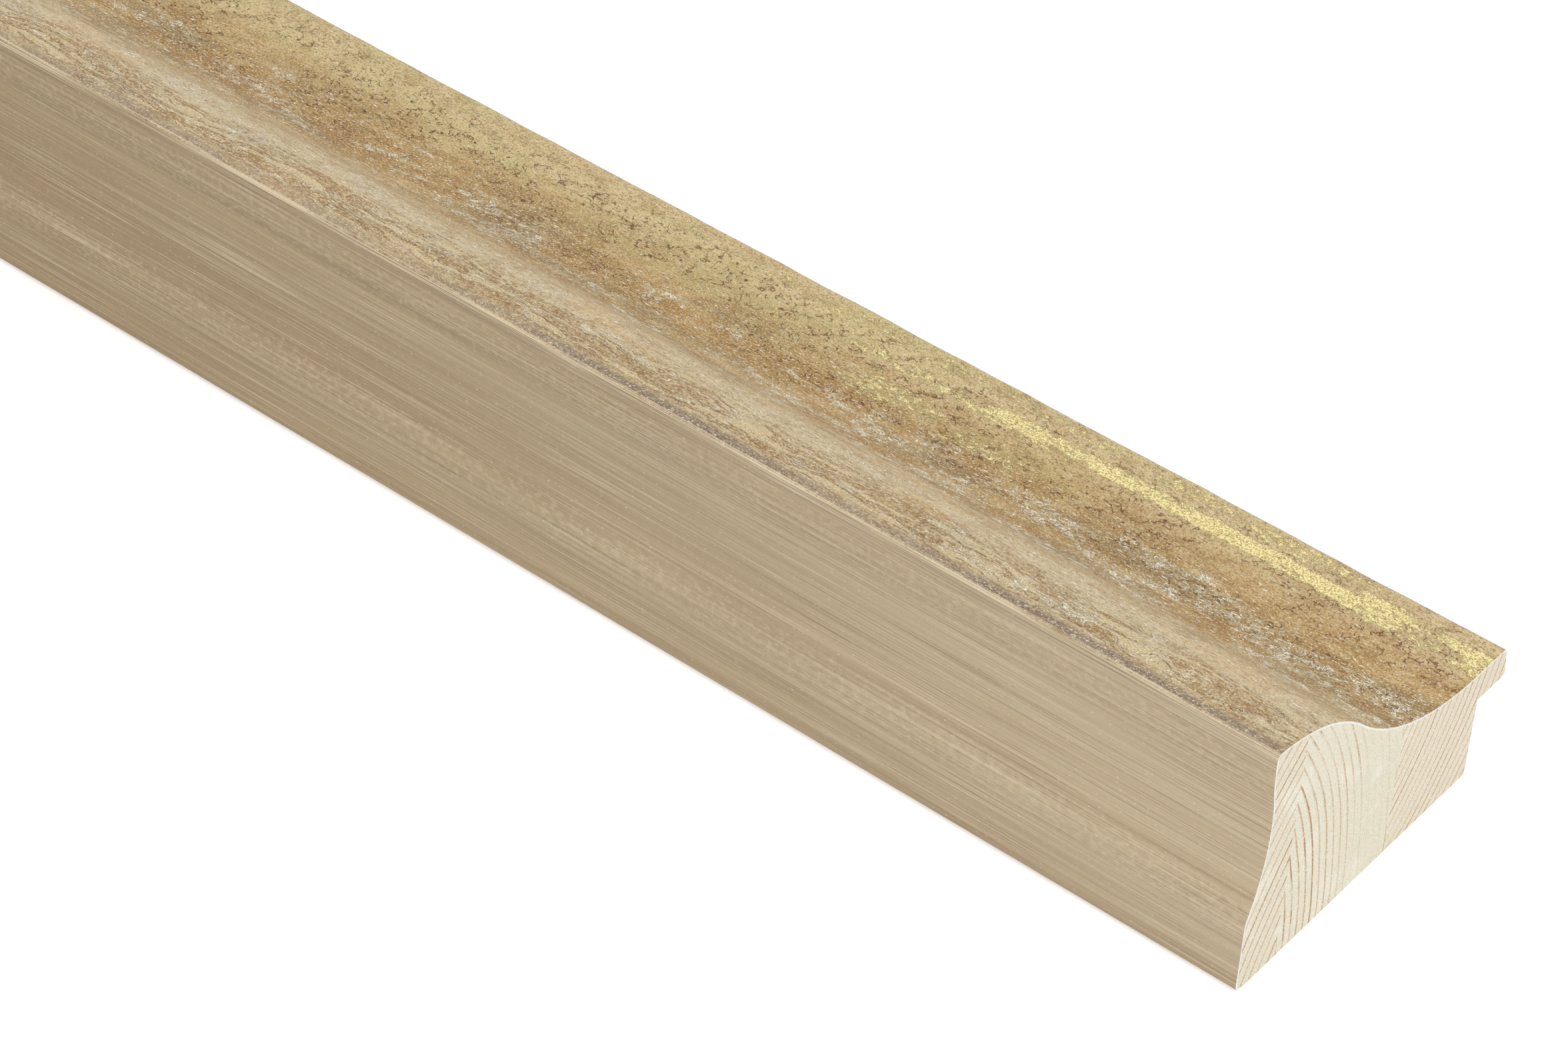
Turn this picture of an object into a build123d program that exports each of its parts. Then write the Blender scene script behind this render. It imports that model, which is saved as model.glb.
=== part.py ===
from build123d import *
import math
import os

# Picture frame moulding: one stick of softwood stock, moulded to one section all along.
# Millimetres. X runs along the stick, Y across it from the outer side to the sight edge, Z up.
# The origin is in the middle of the flat back, halfway along the stick.

# The stick
LENGTH = 914.4
WIDTH = 64.0

# The foot, an upright band along the bottom of the outer side
FOOT_HEIGHT = 13.3
FOOT_ROUND = 1.3
FOOT_HEAD_ROUND = 1.5

# The long cove in the outer side, deepest at its own height above the back
COVE_DEPTH = 3.2
COVE_HEIGHT = 28.6

# The arris between the outer side and the face, with a short upright band below it
ARRIS_HEIGHT = 43.0
ARRIS_SETBACK = 2.1
ARRIS_BAND = 2.0
ARRIS_ROUND = 0.9

# The face rolls over an ovolo, runs out through a wide scoop and ends flat at the sight edge
FALL_AT_ARRIS = 3.2
OVOLO_RADIUS = 33.4
SIGHT_FLAT = 8.0

# The rabbet behind the sight edge, which takes the glass, the picture and the backing board
RABBET_WIDTH = 7.0
RABBET_DEPTH = 14.5

# The lip over the rabbet. Its edge leans out towards the rabbet.
LIP_THICKNESS = 5.65
LIP_LEAN = 5.5
LIP_TOP_ROUND = 1.3
LIP_BOTTOM_ROUND = 0.7

# Corners of the section, from the outermost line of the foot at 0 to the sight edge at WIDTH
lip_height = RABBET_DEPTH + LIP_THICKNESS
lip_set_in = LIP_THICKNESS * math.tan(math.radians(LIP_LEAN))
foot_base = (0, 0)
foot_head = (0, FOOT_HEIGHT)
arris = (ARRIS_SETBACK, ARRIS_HEIGHT)
lip_top = (WIDTH - lip_set_in, lip_height)
lip_bottom = (WIDTH, RABBET_DEPTH)
rabbet_corner = (WIDTH - RABBET_WIDTH, RABBET_DEPTH)
rabbet_base = (WIDTH - RABBET_WIDTH, 0)

# The outer side turns from cove to swell halfway between the cove's deepest line and the band
cove_deepest = (COVE_DEPTH, COVE_HEIGHT)
band_base = (ARRIS_SETBACK, ARRIS_HEIGHT - ARRIS_BAND)
cove_to_swell = (
    (cove_deepest[0] + band_base[0]) / 2,
    (cove_deepest[1] + band_base[1]) / 2,
)

# The scoop is the one arc that meets the ovolo and the flat at the sight edge without a corner.
# The line through both centres passes the meeting point, and its lean is the steepest fall.
fall = math.radians(FALL_AT_ARRIS)
scoop_foot = (lip_top[0] - SIGHT_FLAT, lip_height)
across = scoop_foot[0] - (arris[0] - OVOLO_RADIUS * math.sin(fall))
above = (arris[1] - OVOLO_RADIUS * math.cos(fall)) - scoop_foot[1]
scoop_radius = (across**2 + above**2 - OVOLO_RADIUS**2) / (2 * (OVOLO_RADIUS + above))
steepest_fall = math.degrees(math.asin(across / (OVOLO_RADIUS + scoop_radius)))

section_plane = Plane(
    origin=(-LENGTH / 2, -WIDTH / 2, 0), x_dir=(0, 1, 0), z_dir=(1, 0, 0)
)

with BuildPart() as moulding:
    with BuildSketch(section_plane) as section:
        with BuildLine() as outline:
            Line(foot_base, foot_head)
            TangentArc(cove_deepest, foot_head, tangent=(0, -1))
            upper_cove = TangentArc(cove_deepest, cove_to_swell, tangent=(0, 1))
            TangentArc(cove_to_swell, band_base, tangent=upper_cove % 1)
            Line(band_base, arris)
            ovolo = JernArc(
                start=arris,
                tangent=(math.cos(fall), -math.sin(fall)),
                radius=OVOLO_RADIUS,
                arc_size=FALL_AT_ARRIS - steepest_fall,
            )
            TangentArc(ovolo @ 1, scoop_foot, tangent=ovolo % 1)
            Polyline(
                scoop_foot, lip_top, lip_bottom, rabbet_corner, rabbet_base, foot_base
            )
        make_face()
        for corner, radius in (
            (foot_base, FOOT_ROUND),
            (foot_head, FOOT_HEAD_ROUND),
            (arris, ARRIS_ROUND),
            (lip_top, LIP_TOP_ROUND),
            (lip_bottom, LIP_BOTTOM_ROUND),
        ):
            fillet(section.vertices().sort_by_distance(corner)[0], radius)
    extrude(amount=LENGTH)

moulding.part.label = "moulding"

os.makedirs("parts", exist_ok=True)
export_step(moulding.part, "parts/moulding.step")
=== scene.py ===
"""Visual model of one stick of picture frame moulding.

The stick is bare pine, glued up from three strips and run through the moulder. A thin coat of
gesso covers its face and outer side. The face is antiqued in ochre, with white strands and worn
gold leaf towards the sight edge, and the outer side has a brushed taupe wash.
X runs along the stick, Y from the outer side to the sight edge and Z up, in metres.
"""

from __future__ import annotations

import logging
import math
from collections.abc import Callable, Sequence
from dataclasses import dataclass
from enum import Enum
from functools import reduce

import bpy
import numpy as np
from mathutils import Matrix, Vector

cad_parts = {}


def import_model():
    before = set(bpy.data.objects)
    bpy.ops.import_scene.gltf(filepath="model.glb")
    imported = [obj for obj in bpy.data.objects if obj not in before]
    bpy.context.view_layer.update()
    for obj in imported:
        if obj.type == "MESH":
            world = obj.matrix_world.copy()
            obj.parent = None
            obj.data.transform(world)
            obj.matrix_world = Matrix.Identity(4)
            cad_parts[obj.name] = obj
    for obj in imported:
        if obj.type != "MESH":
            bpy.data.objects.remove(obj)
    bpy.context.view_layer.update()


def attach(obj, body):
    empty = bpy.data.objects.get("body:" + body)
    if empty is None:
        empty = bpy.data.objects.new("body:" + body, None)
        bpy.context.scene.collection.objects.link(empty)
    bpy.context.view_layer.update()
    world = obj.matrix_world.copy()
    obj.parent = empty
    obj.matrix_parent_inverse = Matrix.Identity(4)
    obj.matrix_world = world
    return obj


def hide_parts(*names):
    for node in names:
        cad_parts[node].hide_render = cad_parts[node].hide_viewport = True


logging.basicConfig(level=logging.INFO, format="%(name)s: %(message)s")
log = logging.getLogger("moulding")

MM = 0.001
NEAR = 0.01 * MM  # places closer than this count as the same
LONG_EDGE = 10 * MM  # only edges along the stick are longer than this
SURFACE_MAP = "surface"  # pattern map of the coat: 1 unit is SURFACE_UNIT metres
SURFACE_UNIT = 0.1
RELIEF_MAP = "relief"
BAKE_MAP = "OFBake"  # map that the export bakes colours through
BAKE_ROWS = 3
ACROSS = "across"  # attribute: a vertex's distance round the section, in metres

Point = tuple[float, float]
Colour = tuple[float, float, float]

WHITE: Colour = (1.0, 1.0, 1.0)


def hex_colour(text: str) -> Colour:
    """Turns six sRGB digits into the linear colour that Blender's sockets take."""
    parts = [int(text[i : i + 2], 16) / 255 for i in (0, 2, 4)]
    return tuple(c / 12.92 if c <= 0.04045 else ((c + 0.055) / 1.055) ** 2.4 for c in parts)


# Blender helpers


def leave_edit_mode() -> None:
    """Goes back to object mode."""
    bpy.ops.object.mode_set(mode="OBJECT")


def deselect_all() -> None:
    """Leaves edit mode and deselects every object."""
    if bpy.context.object and bpy.context.object.mode != "OBJECT":
        leave_edit_mode()
    bpy.ops.object.select_all(action="DESELECT")


def activate(piece: bpy.types.Object) -> None:
    """Makes one object the only selected and the active one.

    Args:
        piece: The object to work on.
    """
    deselect_all()
    piece.select_set(True)
    bpy.context.view_layer.objects.active = piece


def edit_whole(piece: bpy.types.Object) -> None:
    """Enters edit mode with the whole piece selected.

    Args:
        piece: The mesh object.
    """
    activate(piece)
    bpy.ops.object.mode_set(mode="EDIT")
    bpy.ops.mesh.select_all(action="SELECT")


def edit_chosen(piece: bpy.types.Object, kind: str, chosen: np.ndarray) -> None:
    """Enters edit mode with only the chosen vertices, edges or faces selected.

    Args:
        piece: The mesh object.
        kind: VERT, EDGE or FACE.
        chosen: One truth value for each element of that kind.
    """
    activate(piece)
    bpy.ops.object.mode_set(mode="EDIT")
    bpy.ops.mesh.select_mode(type=kind)
    bpy.ops.mesh.select_all(action="DESELECT")
    leave_edit_mode()
    mesh = piece.data
    elements = {"VERT": mesh.vertices, "EDGE": mesh.edges, "FACE": mesh.polygons}[kind]
    elements.foreach_set("select", chosen.astype(bool))
    bpy.ops.object.mode_set(mode="EDIT")


def face_outwards(piece: bpy.types.Object) -> None:
    """Recalculates the direction in which a piece's faces point.

    Args:
        piece: The mesh object.
    """
    edit_whole(piece)
    bpy.ops.mesh.normals_make_consistent(inside=False)
    leave_edit_mode()


def apply_modifier(piece: bpy.types.Object, kind: str, name: str, **settings: object) -> None:
    """Adds a modifier to a piece, sets it and applies it.

    Args:
        piece: The mesh object.
        kind: The modifier's type.
        name: Its name.
        **settings: Its properties.
    """
    activate(piece)
    modifier = piece.modifiers.new(name, kind)
    for key, value in settings.items():
        setattr(modifier, key, value)
    bpy.ops.object.modifier_apply(modifier=modifier.name)


def read(
    elements: bpy.types.bpy_prop_collection, name: str, width: int = 1, kind: type = float
) -> np.ndarray:
    """Reads one property of every element.

    Args:
        elements: A mesh's vertices, edges, corners or faces.
        name: The property.
        width: How many numbers it has.
        kind: The numbers' type.

    Returns:
        One number for each element, or one row of them.
    """
    out = np.empty(len(elements) * width, dtype=kind)
    elements.foreach_get(name, out)
    return out.reshape(-1, width) if width > 1 else out


def vertex_places(mesh: bpy.types.Mesh) -> np.ndarray:
    """The vertices' coordinates as rows of x, y and z."""
    return read(mesh.vertices, "co", 3)


def vertex_across(mesh: bpy.types.Mesh) -> np.ndarray:
    """Each vertex's distance round the section."""
    return read(mesh.attributes[ACROSS].data, "value")


def loop_vertices(mesh: bpy.types.Mesh) -> np.ndarray:
    """The vertex that each face corner stands on."""
    return read(mesh.loops, "vertex_index", kind=int)


def loop_faces(mesh: bpy.types.Mesh) -> np.ndarray:
    """The face that each face corner belongs to."""
    return np.repeat(np.arange(len(mesh.polygons)), read(mesh.polygons, "loop_total", kind=int))


def face_slots(mesh: bpy.types.Mesh) -> np.ndarray:
    """Each face's material slot."""
    return read(mesh.polygons, "material_index", kind=int)


def write_map(mesh: bpy.types.Mesh, name: str, places: np.ndarray) -> None:
    """Writes a UV map from one row of u and v for each face corner."""
    layer = mesh.uv_layers.get(name) or mesh.uv_layers.new(name=name)
    layer.data.foreach_set("uv", places.astype(np.float32).ravel())


@dataclass(frozen=True)
class BakeCell:
    """A rectangle of the bake map. Its points are given as shares of its width and height."""

    left: float
    bottom: float
    width: float
    height: float
    gutter: float = 0.01

    def at(self, u: np.ndarray, v: np.ndarray) -> np.ndarray:
        """The points' places on the whole map."""
        return np.stack([self.left + u * self.width, self.bottom + v * self.height], axis=1)

    def in_rows(self, mesh: bpy.types.Mesh, along: np.ndarray, across: np.ndarray) -> np.ndarray:
        """Cuts a long strip into equal lengths and lays them in rows, one above another.

        Args:
            mesh: The mesh, whose faces each lie within one length.
            along: Each corner's share of the stick's length.
            across: Each corner's share of the strip's width.

        Returns:
            The corners' places on the whole map.
        """
        middles = read(mesh.polygons, "center", 3)[loop_faces(mesh), 0]
        row = np.floor((middles / (Section.length * MM) + 0.5) * BAKE_ROWS)
        inside = self.gutter + (1 - 2 * self.gutter) * across
        return self.at(along * BAKE_ROWS - row, (row + inside) / BAKE_ROWS)


def walk_round(mesh: bpy.types.Mesh, first: int) -> np.ndarray:
    """Follows a closed chain of edges, towards the outer side from its first vertex.

    Args:
        mesh: The chain.
        first: The vertex to start at.

    Returns:
        The vertices in order.
    """
    neighbours: dict[int, list[int]] = {}
    for edge in mesh.edges:
        one, other = edge.vertices
        neighbours.setdefault(one, []).append(other)
        neighbours.setdefault(other, []).append(one)
    order = [first, min(neighbours[first], key=lambda i: mesh.vertices[i].co.y)]
    while len(order) < len(mesh.vertices):
        order.append(next(i for i in neighbours[order[-1]] if i != order[-2]))
    return np.array(order)


def cut_across(piece: bpy.types.Object, cuts: int, chosen: np.ndarray | None = None) -> None:
    """Cuts the long edges of a piece into equal lengths, and the faces between them.

    Args:
        piece: The mesh object.
        cuts: The number of cuts to an edge.
        chosen: Whether each vertex may carry a cut edge. By default all may.
    """
    mesh = piece.data
    ends = read(mesh.edges, "vertices", 2, int)
    run = np.abs(np.diff(vertex_places(mesh)[ends][:, :, 0], axis=1)).ravel()
    long = run > LONG_EDGE
    if chosen is not None:
        long &= chosen[ends].all(axis=1)
    edit_chosen(piece, "EDGE", long)
    bpy.ops.mesh.subdivide(number_cuts=cuts, ngon=True)
    leave_edit_mode()


# The section, drawn as by hand


@dataclass(frozen=True)
class Section:
    """Sizes of the moulding, in millimetres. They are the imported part's."""

    length: float = 914.4
    width: float = 64.0
    foot_height: float = 13.3
    foot_round: float = 1.3
    foot_head_run: float = 0.31
    foot_head_set_in: float = 0.12
    foot_head_rise: float = 0.2852
    cove_depth: float = 3.2
    cove_height: float = 28.6
    arris_height: float = 43.0
    arris_setback: float = 2.1
    arris_band: float = 2.0
    arris_run: float = 0.95
    fall_at_arris: float = 3.2
    ovolo_radius: float = 33.4
    sight_flat: float = 8.0
    rabbet_width: float = 7.0
    rabbet_depth: float = 14.5
    lip_thickness: float = 5.65
    lip_lean: float = 5.5
    lip_top_run: float = 1.18
    lip_bottom_run: float = 0.76
    coat: float = 0.3
    coat_past_sight_edge: float = 0.9
    let_in_run: float = 0.4

    @property
    def lip_height(self) -> float:
        """Height of the flat at the sight edge."""
        return self.rabbet_depth + self.lip_thickness

    @property
    def lip_set_in(self) -> float:
        """How far the lip's top edge stands back from its bottom edge."""
        return self.lip_thickness * math.tan(math.radians(self.lip_lean))


def unit(vector: Sequence[float]) -> np.ndarray:
    """The vector at length one."""
    return np.asarray(vector, dtype=float) / np.linalg.norm(vector)


def turned(vector: np.ndarray, angle: float) -> np.ndarray:
    """The vector turned to the left by an angle in radians."""
    cosine, sine = math.cos(angle), math.sin(angle)
    return np.array([[cosine, -sine], [sine, cosine]]) @ vector


class Pen:
    """Draws a chain of edges at the stick's far end with edit mode's extrude and spin.

    Points are (u, z) in millimetres, with u from the outermost line of the foot to the sight edge.
    """

    def __init__(self, section: Section, start: Point, heading: Point) -> None:
        """Starts the chain as a single vertex.

        Args:
            section: The moulding's sizes.
            start: Where the chain begins.
            heading: The direction it sets out in.
        """
        self.section = section
        self.at = np.array(start, dtype=float)
        self.heading = unit(heading)
        deselect_all()
        bpy.ops.mesh.primitive_plane_add(size=MM)
        self.piece = bpy.context.object
        edit_whole(self.piece)
        bpy.ops.mesh.merge(type="CENTER")
        bpy.ops.transform.translate(value=self.place(self.at))

    @property
    def left(self) -> np.ndarray:
        """The direction to the left of the heading."""
        return np.array([-self.heading[1], self.heading[0]])

    def place(self, point: Sequence[float]) -> Vector:
        """Turns a point of the section into one in space, at the stick's far end."""
        half = self.section.length / 2
        return Vector((-half, point[0] - self.section.width / 2, point[1])) * MM

    def line(self, end: Sequence[float], steps: int = 1) -> None:
        """Draws a straight line.

        Args:
            end: Where it ends.
            steps: The number of edges.
        """
        end = np.asarray(end, dtype=float)
        step = (end - self.at) / steps
        for _ in range(steps):
            bpy.ops.mesh.extrude_region_move(
                TRANSFORM_OT_translate={"value": (0, step[0] * MM, step[1] * MM)}
            )
        self.heading = unit(end - self.at)
        self.at = end

    def arc(self, end: Sequence[float], steps: int) -> None:
        """Draws the arc that leaves along the present heading and meets a point.

        Args:
            end: Where it ends.
            steps: The number of edges.
        """
        end = np.asarray(end, dtype=float)
        chord = end - self.at
        aside = chord @ self.left
        radius = chord @ chord / (2 * aside)
        angle = 2 * math.atan2(aside, chord @ self.heading)
        self.spin(self.at + radius * self.left, angle, steps)
        self.at = end

    def turn(self, radius: float, angle: float, steps: int) -> None:
        """Draws an arc of a given radius that turns by an angle.

        Args:
            radius: The arc's radius.
            angle: The turn in radians, to the left when positive.
            steps: The number of edges.
        """
        centre = self.at + math.copysign(radius, angle) * self.left
        end = centre + turned(self.at - centre, angle)
        self.spin(centre, angle, steps)
        self.at = end

    def spin(self, centre: np.ndarray, angle: float, steps: int) -> None:
        """Spins the chain's end about a centre and turns the heading with it."""
        bpy.ops.mesh.spin(steps=steps, angle=-angle, center=self.place(centre), axis=(1, 0, 0))
        self.heading = turned(self.heading, angle)

    def close(self) -> bpy.types.Object:
        """Joins the chain's end to its start and leaves edit mode.

        Returns:
            The closed outline.
        """
        bpy.ops.mesh.select_all(action="SELECT")
        bpy.ops.mesh.remove_doubles(threshold=2 * NEAR)
        leave_edit_mode()
        return self.piece


@dataclass
class Outline:
    """The section's outline, with each vertex's distance along it from the coat's start."""

    section: Section
    arris_at: float = 0.0
    coat_ends_at: float = 0.0

    def draw(self) -> bpy.types.Object:
        """Draws the outline from the foot's base up the outer side, over the face and back.

        Returns:
            The closed chain of edges, with its ACROSS attribute in metres.
        """
        s = self.section
        fall = math.radians(s.fall_at_arris)
        arris = np.array([s.arris_setback, s.arris_height])
        band_base = arris - [0, s.arris_band]
        cove_deepest = np.array([s.cove_depth, s.cove_height])
        lip_top = np.array([s.width - s.lip_set_in, s.lip_height])
        lip_bottom = np.array([s.width, s.rabbet_depth])
        down_lip = unit(lip_bottom - lip_top)
        ovolo_centre = arris - s.ovolo_radius * np.array([math.sin(fall), math.cos(fall)])
        scoop_foot = lip_top - [s.sight_flat, 0]
        across, above = scoop_foot[0] - ovolo_centre[0], ovolo_centre[1] - scoop_foot[1]
        squares = across**2 + above**2 - s.ovolo_radius**2
        scoop_radius = squares / (2 * (s.ovolo_radius + above))
        steepest = math.asin(across / (s.ovolo_radius + scoop_radius))

        def on_ovolo(slope: float) -> np.ndarray:
            """The point of the ovolo where it falls at a slope, in radians."""
            return ovolo_centre + s.ovolo_radius * np.array([math.sin(slope), math.cos(slope)])

        first_slope = fall + s.arris_run / s.ovolo_radius
        rabbet_base = (s.width - s.rabbet_width, 0)
        pen = Pen(s, rabbet_base, (-1, 0))
        pen.line((s.foot_round + s.let_in_run, 0))
        pen.line((s.foot_round, 0))
        coat_start = pen.at
        pen.arc((0, s.foot_round), 4)
        pen.line((0, s.foot_height - s.foot_head_run), 7)
        pen.arc((s.foot_head_set_in, s.foot_height + s.foot_head_rise), 2)
        pen.arc(cove_deepest, 10)
        pen.arc((cove_deepest + band_base) / 2, 4)
        pen.arc(band_base, 4)
        pen.line(arris - [0, s.arris_run], 1)
        pen.arc(on_ovolo(first_slope), 4)
        pen.heading = np.array([math.cos(first_slope), -math.sin(first_slope)])
        pen.turn(s.ovolo_radius, first_slope - steepest, 36)
        pen.arc(scoop_foot, 50)
        pen.line(lip_top - [s.lip_top_run, 0], 10)
        pen.arc(lip_top + down_lip * s.lip_top_run, 4)
        pen.line(lip_top + down_lip * (s.lip_top_run + s.coat_past_sight_edge), 1)
        coat_end = pen.at
        pen.line(coat_end + down_lip * s.let_in_run)
        pen.line(lip_bottom - down_lip * s.lip_bottom_run)
        pen.arc(lip_bottom - [s.lip_bottom_run, 0], 3)
        pen.line((s.width - s.rabbet_width, s.rabbet_depth))
        pen.line(rabbet_base)
        piece = pen.close()
        landmarks = (rabbet_base, coat_start, arris, coat_end)
        self.measure(piece, *(pen.place(p) for p in landmarks))
        return piece

    def measure(
        self,
        piece: bpy.types.Object,
        rabbet_base: Vector,
        coat_start: Vector,
        arris: Vector,
        coat_end: Vector,
    ) -> None:
        """Writes each vertex's distance along the outline, and keeps those of two landmarks.

        Args:
            piece: The outline.
            rabbet_base: The foot of the rabbet's wall, where the measuring starts.
            coat_start: Where the coat starts at the foot, which is at distance 0.
            arris: The arris's place.
            coat_end: Where the coat ends on the lip.
        """
        places = vertex_places(piece.data)
        first = np.linalg.norm(places - rabbet_base, axis=1).argmin()
        order = walk_round(piece.data, int(first))
        ring = np.append(order, order[0])
        steps = np.linalg.norm(np.diff(places[ring], axis=0), axis=1)
        along = np.empty(len(places))
        along[order] = np.concatenate([[0], np.cumsum(steps[:-1])])

        def nearest(landmark: Vector) -> float:
            """The distance of the vertex that is nearest to a landmark."""
            return float(along[np.linalg.norm(places - landmark, axis=1).argmin()])

        along -= nearest(coat_start)
        layer = piece.data.attributes.new(ACROSS, "FLOAT", "POINT")
        layer.data.foreach_set("value", along)
        self.arris_at = nearest(arris)
        self.coat_ends_at = nearest(coat_end)


# Shader nodes

Socket = bpy.types.NodeSocket
Value = Socket | float
Tint = Socket | Colour

SHARE_NONE = 0.8  # hardly any of a noise is above this
SHARE_ALL = 0.2  # nearly all of it is above this


class NodeSheet:
    """Adds nodes to one tree and joins them. Places in it are in millimetres."""

    def __init__(self, tree: bpy.types.NodeTree, flat: bool = False) -> None:
        """Starts on a tree, whose patterns are flat if they lie in the plane of a UV map."""
        self.tree = tree
        self.dimensions = "2D" if flat else "3D"

    def wire(self, node: bpy.types.Node, sockets: dict[str | int, object]) -> bpy.types.Node:
        """Joins a node's inputs to other nodes, or sets them.

        Args:
            node: The node.
            sockets: What each input is joined to or set to. A colour has three parts.

        Returns:
            The node.
        """
        for key, value in sockets.items():
            socket = node.inputs[key]
            if isinstance(value, bpy.types.NodeSocket):
                self.tree.links.new(value, socket)
            elif socket.type == "RGBA":
                socket.default_value = (*value, 1.0)
            else:
                socket.default_value = value
        return node

    def add(self, kind: str, sockets: dict[str | int, object], **settings: object) -> bpy.types.Node:
        """Adds a node.

        Args:
            kind: The node's type, without ShaderNode.
            sockets: What each input is joined to or set to.
            **settings: The node's properties.

        Returns:
            The node.
        """
        node = self.tree.nodes.new("ShaderNode" + kind)
        for key, value in settings.items():
            setattr(node, key, value)
        return self.wire(node, sockets)

    def out(self, kind: str, sockets: dict[str | int, object], **settings: object) -> Socket:
        """The first output of a new node."""
        return self.add(kind, sockets, **settings).outputs[0]

    def math(self, operation: str, *values: Value, clamp: bool = False) -> Socket:
        """The result of a Math node."""
        return self.out("Math", dict(enumerate(values)), operation=operation, use_clamp=clamp)

    def vector(self, operation: str, first: Socket, second: object) -> Socket:
        """The result of a Vector Math node."""
        return self.out("VectorMath", {0: first, 1: second}, operation=operation)

    def combined(self, *parts: Value) -> Socket:
        """A vector made of its parts."""
        return self.out("CombineXYZ", dict(enumerate(parts)))

    def parts(self, vector: Socket) -> Sequence[Socket]:
        """The three parts of a vector."""
        return self.add("SeparateXYZ", {0: vector}).outputs

    def chain(self, operation: str, values: Sequence[Value]) -> Value:
        """The values joined one after another with a Math operation."""
        return reduce(lambda one, other: self.math(operation, one, other), values)

    def total(self, *values: Value) -> Value:
        """The values added up."""
        return self.chain("ADD", values)

    def product(self, *values: Value) -> Value:
        """The values multiplied together."""
        return self.chain("MULTIPLY", values)

    def largest(self, *values: Value) -> Value:
        """The largest of the values."""
        return self.chain("MAXIMUM", values)

    def step(self, value: Value, low: float, high: float) -> Socket:
        """Goes smoothly from 0 at low to 1 at high.

        Args:
            value: The value.
            low: Where it is 0.
            high: Where it is 1, which may be less than low.

        Returns:
            The mask.
        """
        ends = (low, high, 0.0, 1.0) if low < high else (high, low, 1.0, 0.0)
        sockets = dict(enumerate((value, *ends)))
        return self.out("MapRange", sockets, interpolation_type="SMOOTHSTEP")

    def band(self, value: Value, start: float, full: float, full_end: float, end: float) -> Socket:
        """Is 1 between full and full_end, and falls smoothly to 0 at start and end."""
        return self.product(self.step(value, start, full), self.step(value, end, full_end))

    def mix(self, share: Value, first: Tint, second: Tint) -> Socket:
        """The second colour laid over the first."""
        return self.add("Mix", {0: share, 6: first, 7: second}, data_type="RGBA").outputs[2]

    def between(self, share: Value, first: Value, second: Value) -> Socket:
        """A value that runs from the first to the second."""
        return self.out("Mix", {0: share, 2: first, 3: second}, data_type="FLOAT")

    def object_places(self) -> Socket:
        """Places on the piece."""
        return self.vector("DIVIDE", self.add("TexCoord", {}).outputs["Object"], (MM, MM, MM))

    def scaled(self, places: Socket, sizes: Sequence[float], shift: float = 0.0) -> Socket:
        """Places counted in features of these sizes, moved on by shift features."""
        counted = self.vector("DIVIDE", places, tuple(sizes))
        return self.vector("ADD", counted, (shift, shift, 0)) if shift else counted

    def noise(
        self,
        places: Socket,
        sizes: Sequence[float],
        shift: float = 0.0,
        detail: float = 2.0,
        roughness: float = 0.5,
    ) -> Socket:
        """Noise from 0 to 1, about 0.5, with features of about these sizes.

        Args:
            places: Where it is read.
            sizes: The features' sizes along X, Y and Z, or along U and V.
            shift: Moves the pattern, so that two noises differ.
            detail: The number of finer layers.
            roughness: The strength of the finer layers.

        Returns:
            The noise.
        """
        where = self.scaled(places, (*sizes, 1)[:3], shift)
        sockets = {"Vector": where, "Scale": 1.0, "Detail": detail, "Roughness": roughness}
        return self.out("TexNoise", sockets, noise_dimensions=self.dimensions)

    def patches(self, noise: Value, share: Value, edge: float) -> Socket:
        """Patches that cover about this share where a noise is high, with an edge this soft."""
        level = self.total(noise, self.between(share, -SHARE_NONE, -SHARE_ALL))
        return self.math("DIVIDE", level, edge, clamp=True)


class Effect(Enum):
    """The effects that are built once, as node groups."""

    STREAKS = "streaks"
    SPECKS = "specks"
    WEB = "web"
    # Painted highlight along the arris and painted shade just under it.
    EDGE_WEAR = "arris_light"
    RINGS = "rings"


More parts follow.
